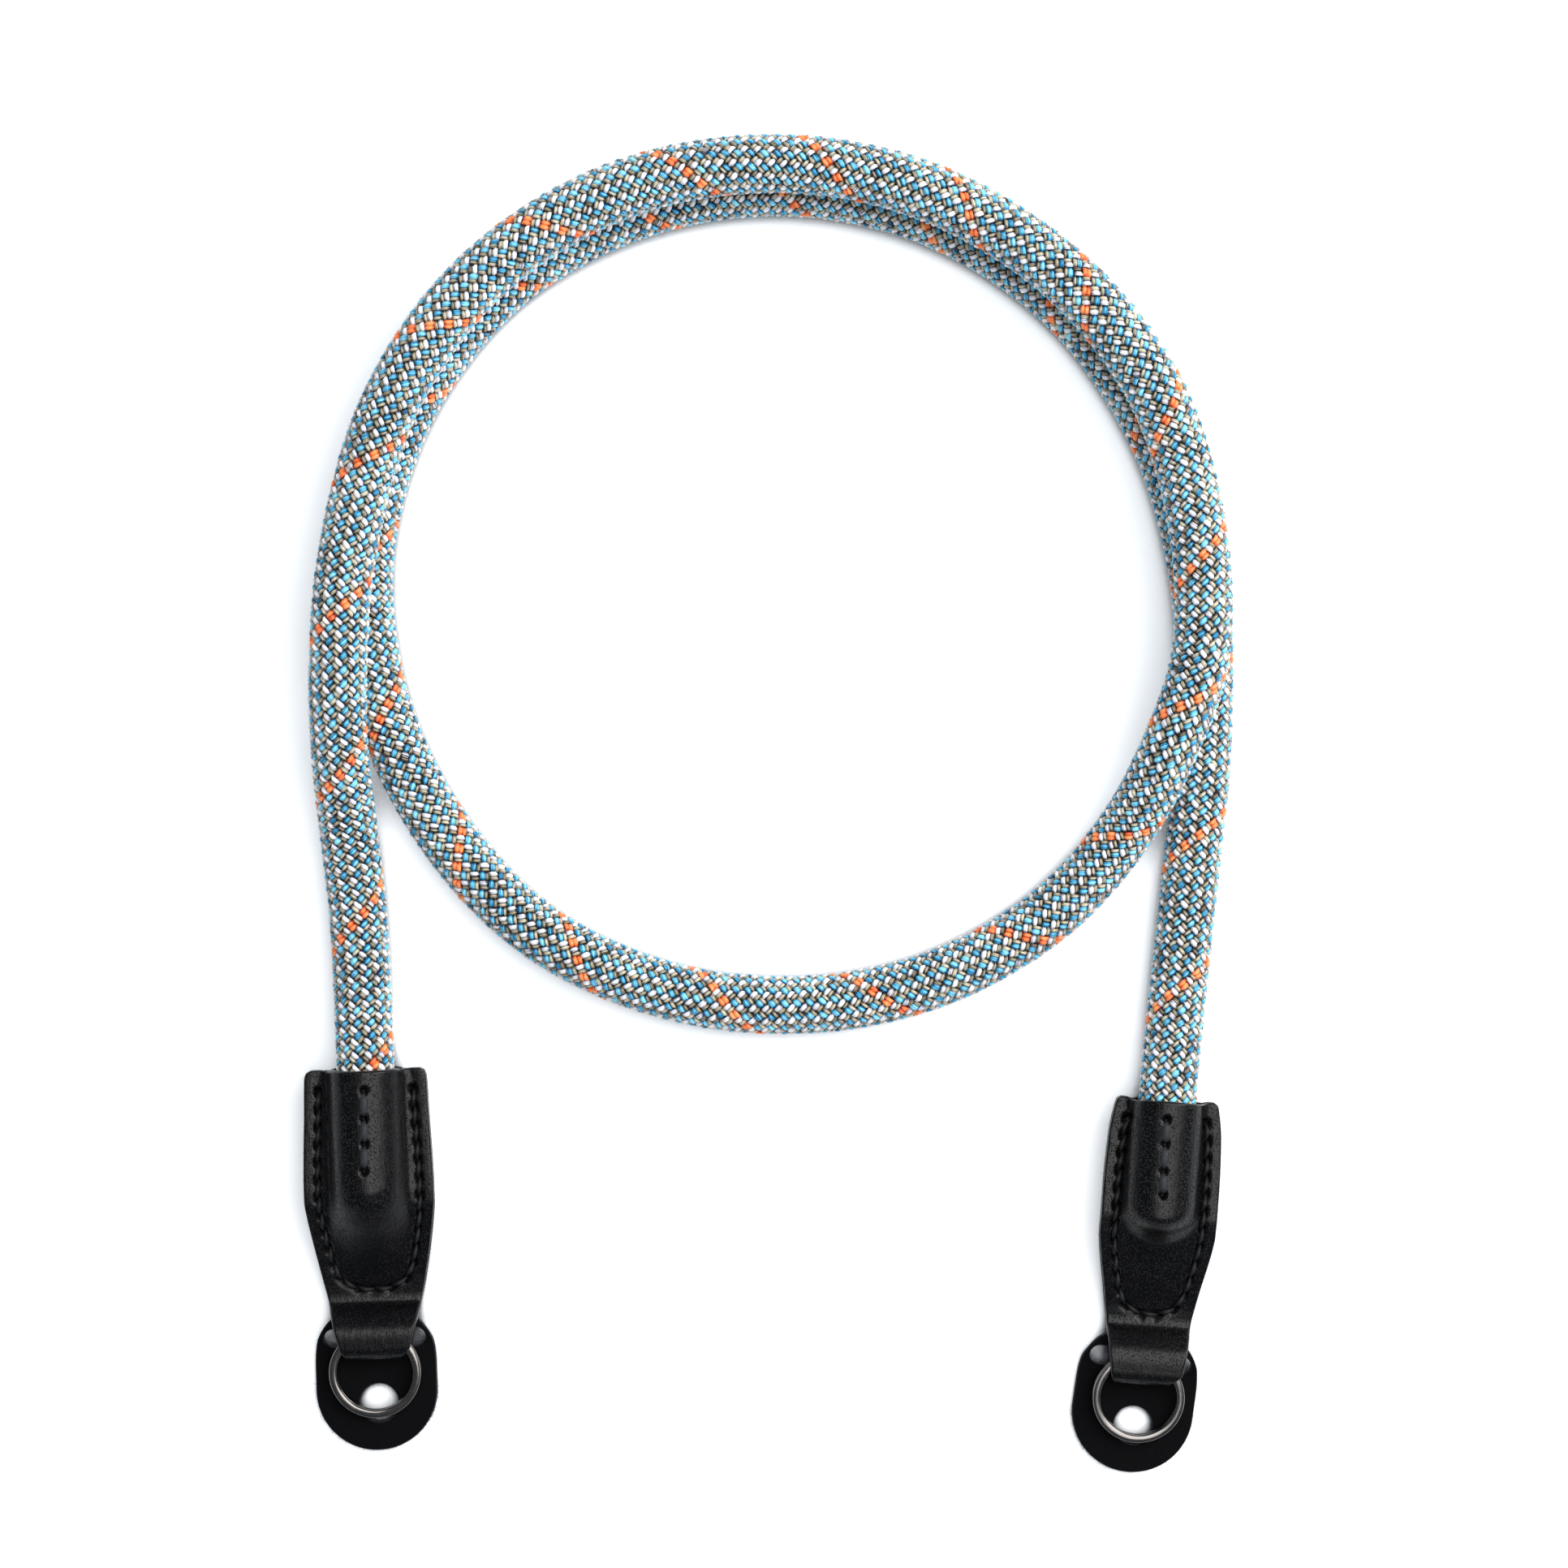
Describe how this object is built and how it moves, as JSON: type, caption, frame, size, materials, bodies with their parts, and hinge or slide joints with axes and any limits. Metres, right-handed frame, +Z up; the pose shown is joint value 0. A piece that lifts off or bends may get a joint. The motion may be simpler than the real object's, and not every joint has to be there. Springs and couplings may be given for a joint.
{
  "type": "camera neck strap",
  "caption": "Rope camera strap laid in loops, with a folded leather tab, split ring and leather flap at each end.",
  "frame": {"origin": "middle of the box round the two end tabs with their rings and flaps, on the surface that the strap lies on", "axes": "+X from the left tab to the right tab, +Y from the tabs towards the rope's loop, +Z up from the surface"},
  "size_m": [0.1634, 0.2342, 0.0212],
  "materials": {
    "rope": "braided polyester sheath in blue, tan and white with one orange tracer",
    "leather": "smooth black full-grain leather with a soft gloss and fine grain",
    "flap_leather": "matt black leather with fuzzy cut edges",
    "metal": "dark polished nickel"
  },
  "bodies": {
    "root": {"rope": "rope", "tab_left": "leather", "tab_right": "leather", "flap_left": "flap_leather", "flap_right": "flap_leather", "ring_left": "metal", "ring_right": "metal"}
  },
  "joints": []
}
